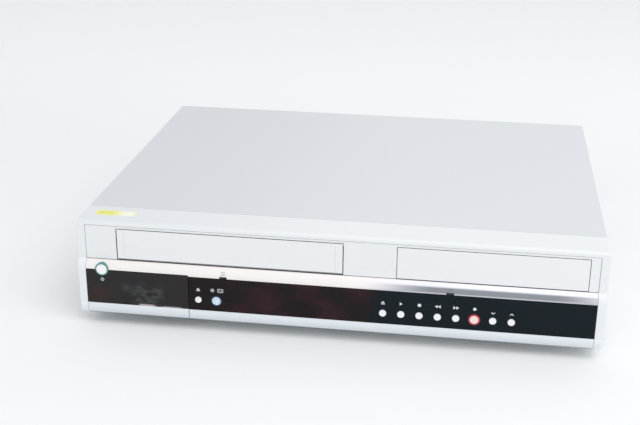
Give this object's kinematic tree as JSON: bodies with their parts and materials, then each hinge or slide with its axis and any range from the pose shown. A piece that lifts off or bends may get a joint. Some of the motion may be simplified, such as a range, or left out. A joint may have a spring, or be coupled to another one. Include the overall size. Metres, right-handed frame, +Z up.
{
  "type": "disc and cassette recorder",
  "caption": "Flat silver recorder with a sliding disc tray beside a hinged cassette door, a dark control band with push buttons, and a jack flap at the left.",
  "frame": {"origin": "middle of the machine's box, on the surface that its foot pads stand on", "axes": "+X to the right as seen from the front, -Y towards the viewer, +Z up"},
  "size_m": [0.435, 0.352, 0.093],
  "materials": {
    "silver_gloss": "silver lacquer, gloss",
    "silver_satin": "silver paint, satin",
    "chrome_strip": "bright plated strip",
    "dark_gloss": "smoked panel, gloss",
    "lens": "dark indicator windows",
    "teal_ring": "translucent teal",
    "blue_ring": "dark blue, gloss",
    "red_ring": "red, gloss",
    "white_caps": "white caps, gloss",
    "pale_blue_cap": "pale blue cap",
    "bare_steel": "zinc plated sheet",
    "black_plastic": "black moulding",
    "grey_plastic": "grey moulding",
    "white_plastic": "white moulding",
    "rubber": "foot pads",
    "board": "circuit board",
    "drum_metal": "turned aluminium",
    "jack_metal": "plated sockets",
    "display_glass": "display tube"
  },
  "bodies": {
    "case": {"front_bezel": "silver_gloss", "upper_fascia": "silver_gloss", "accent_strip": "chrome_strip", "indicator_lenses": "lens", "display_panel": "dark_gloss", "lower_trim": "silver_gloss", "power_ring": "teal_ring", "selector_ring": "blue_ring", "record_ring": "red_ring", "top_cover": "silver_satin", "base_chassis": "bare_steel", "rear_panel": "bare_steel", "feet": "black_plastic", "foot_pads": "rubber", "jack_bay": "black_plastic", "line_sockets": "jack_metal", "front_board": "board", "display_tube": "display_glass", "power_switch": "board", "drive_frame": "black_plastic", "clamp_bridge": "bare_steel", "deck_chassis": "bare_steel", "deck_brackets": "bare_steel", "drum_base": "drum_metal", "main_board": "board", "power_board": "board", "ac_inlet": "black_plastic", "tuner": "jack_metal"},
    "cassette_door": {"cassette_door": "silver_gloss"},
    "flap": {"flap_panel": "dark_gloss", "flap_trim": "silver_gloss"},
    "tray": {"disc_tray": "black_plastic", "tray_fascia": "silver_gloss"},
    "loading_gear": {"loading_gear": "white_plastic"},
    "drive_mech": {"mech_frame": "bare_steel"},
    "turntable": {"turntable": "grey_plastic"},
    "optical_sled": {"optical_sled": "black_plastic"},
    "clamp_puck": {"clamp_puck": "black_plastic"},
    "carriage": {"cassette_carriage": "bare_steel"},
    "holder": {"cassette_holder": "bare_steel"},
    "supply_reel": {"supply_reel": "black_plastic"},
    "takeup_reel": {"takeup_reel": "black_plastic"},
    "head_drum": {"head_drum": "drum_metal"},
    "capstan": {"capstan": "drum_metal"},
    "pinch_arm": {"pinch_arm": "white_plastic"},
    "open_button": {"open_button": "white_caps"},
    "play_button": {"play_button": "white_caps"},
    "stop_button": {"stop_button": "white_caps"},
    "rewind_button": {"rewind_button": "white_caps"},
    "forward_button": {"forward_button": "white_caps"},
    "record_button": {"record_button": "white_caps"},
    "channel_down_button": {"channel_down_button": "white_caps"},
    "channel_up_button": {"channel_up_button": "white_caps"},
    "eject_button": {"eject_button": "white_caps"},
    "selector_button": {"selector_button": "pale_blue_cap"},
    "power_button": {"power_button": "white_caps"}
  },
  "joints": [
    {"name": "cassette_door_hinge", "type": "hinge", "parent": "case", "child": "cassette_door", "pos_m": [-0.0888, -0.1697, 0.0851], "axis": [1, 0, 0], "range_deg": [0, 85], "stiffness_Nm_per_rad": 0.004, "springref_deg": -17.19},
    {"name": "flap_hinge", "type": "hinge", "parent": "case", "child": "flap", "pos_m": [-0.1668, -0.1703, 0.0124], "axis": [1, 0, 0], "range_deg": [0, 90]},
    {"name": "tray_slide", "type": "slide", "parent": "case", "child": "tray", "axis": [0, -1, 0], "range_m": [0, 0.14]},
    {"name": "loading_gear_spin", "type": "hinge", "parent": "case", "child": "loading_gear", "pos_m": [0.185, -0.15, 0.06], "axis": [0, 0, 1], "range_deg": [0, 892]},
    {"name": "drive_mech_tilt", "type": "hinge", "parent": "case", "child": "drive_mech", "pos_m": [0.1266, 0.008, 0.059], "axis": [1, 0, 0], "range_deg": [0, 5.25]},
    {"name": "turntable_spin", "type": "hinge", "parent": "drive_mech", "child": "turntable", "pos_m": [0.1266, -0.102, 0.066], "axis": [0, 0, 1], "continuous": true},
    {"name": "sled_slide", "type": "slide", "parent": "drive_mech", "child": "optical_sled", "axis": [0, 1, 0], "range_m": [0, 0.036]},
    {"name": "clamp_spin", "type": "hinge", "parent": "case", "child": "clamp_puck", "pos_m": [0.1266, -0.102, 0.079], "axis": [0, 0, 1], "continuous": true},
    {"name": "carriage_slide", "type": "slide", "parent": "case", "child": "carriage", "axis": [0, 1, 0], "range_m": [0, 0.065]},
    {"name": "holder_drop", "type": "slide", "parent": "carriage", "child": "holder", "axis": [0, 0, -1], "range_m": [0, 0.027]},
    {"name": "supply_reel_spin", "type": "hinge", "parent": "case", "child": "supply_reel", "pos_m": [-0.1348, -0.027, 0.032], "axis": [0, 0, 1], "continuous": true},
    {"name": "takeup_reel_spin", "type": "hinge", "parent": "case", "child": "takeup_reel", "pos_m": [-0.0428, -0.027, 0.032], "axis": [0, 0, 1], "continuous": true},
    {"name": "head_drum_spin", "type": "hinge", "parent": "case", "child": "head_drum", "pos_m": [-0.0888, 0.067, 0.036], "axis": [0, -0.0976, 0.9952], "continuous": true},
    {"name": "capstan_spin", "type": "hinge", "parent": "case", "child": "capstan", "pos_m": [-0.03, 0.042, 0.04], "axis": [0, 0, 1], "continuous": true},
    {"name": "pinch_arm_swing", "type": "hinge", "parent": "case", "child": "pinch_arm", "pos_m": [-0.002, 0.052, 0.045], "axis": [0, 0, 1], "range_deg": [0, 25]},
    {"name": "open_button_press", "type": "slide", "parent": "case", "child": "open_button", "axis": [0, 1, 0], "range_m": [0, 0.0008], "stiffness_N_per_m": 500, "springref_m": -0.0006},
    {"name": "play_button_press", "type": "slide", "parent": "case", "child": "play_button", "axis": [0, 1, 0], "range_m": [0, 0.0008], "stiffness_N_per_m": 500, "springref_m": -0.0006},
    {"name": "stop_button_press", "type": "slide", "parent": "case", "child": "stop_button", "axis": [0, 1, 0], "range_m": [0, 0.0008], "stiffness_N_per_m": 500, "springref_m": -0.0006},
    {"name": "rewind_button_press", "type": "slide", "parent": "case", "child": "rewind_button", "axis": [0, 1, 0], "range_m": [0, 0.0008], "stiffness_N_per_m": 500, "springref_m": -0.0006},
    {"name": "forward_button_press", "type": "slide", "parent": "case", "child": "forward_button", "axis": [0, 1, 0], "range_m": [0, 0.0008], "stiffness_N_per_m": 500, "springref_m": -0.0006},
    {"name": "record_button_press", "type": "slide", "parent": "case", "child": "record_button", "axis": [0, 1, 0], "range_m": [0, 0.0008], "stiffness_N_per_m": 500, "springref_m": -0.0006},
    {"name": "channel_down_button_press", "type": "slide", "parent": "case", "child": "channel_down_button", "axis": [0, 1, 0], "range_m": [0, 0.0008], "stiffness_N_per_m": 500, "springref_m": -0.0006},
    {"name": "channel_up_button_press", "type": "slide", "parent": "case", "child": "channel_up_button", "axis": [0, 1, 0], "range_m": [0, 0.0008], "stiffness_N_per_m": 500, "springref_m": -0.0006},
    {"name": "eject_button_press", "type": "slide", "parent": "case", "child": "eject_button", "axis": [0, 1, 0], "range_m": [0, 0.0008], "stiffness_N_per_m": 500, "springref_m": -0.0006},
    {"name": "selector_button_press", "type": "slide", "parent": "case", "child": "selector_button", "axis": [0, 1, 0], "range_m": [0, 0.0008], "stiffness_N_per_m": 500, "springref_m": -0.0006},
    {"name": "power_button_press", "type": "slide", "parent": "case", "child": "power_button", "axis": [0, 1, 0], "range_m": [0, 0.0008], "stiffness_N_per_m": 500, "springref_m": -0.0006}
  ],
  "couplings": [
    {"joint": "loading_gear_spin", "follows": "tray_slide", "rad_per_m": 111.11},
    {"joint": "drive_mech_tilt", "follows": "tray_slide", "rad_per_m": 0.64827}
  ]
}
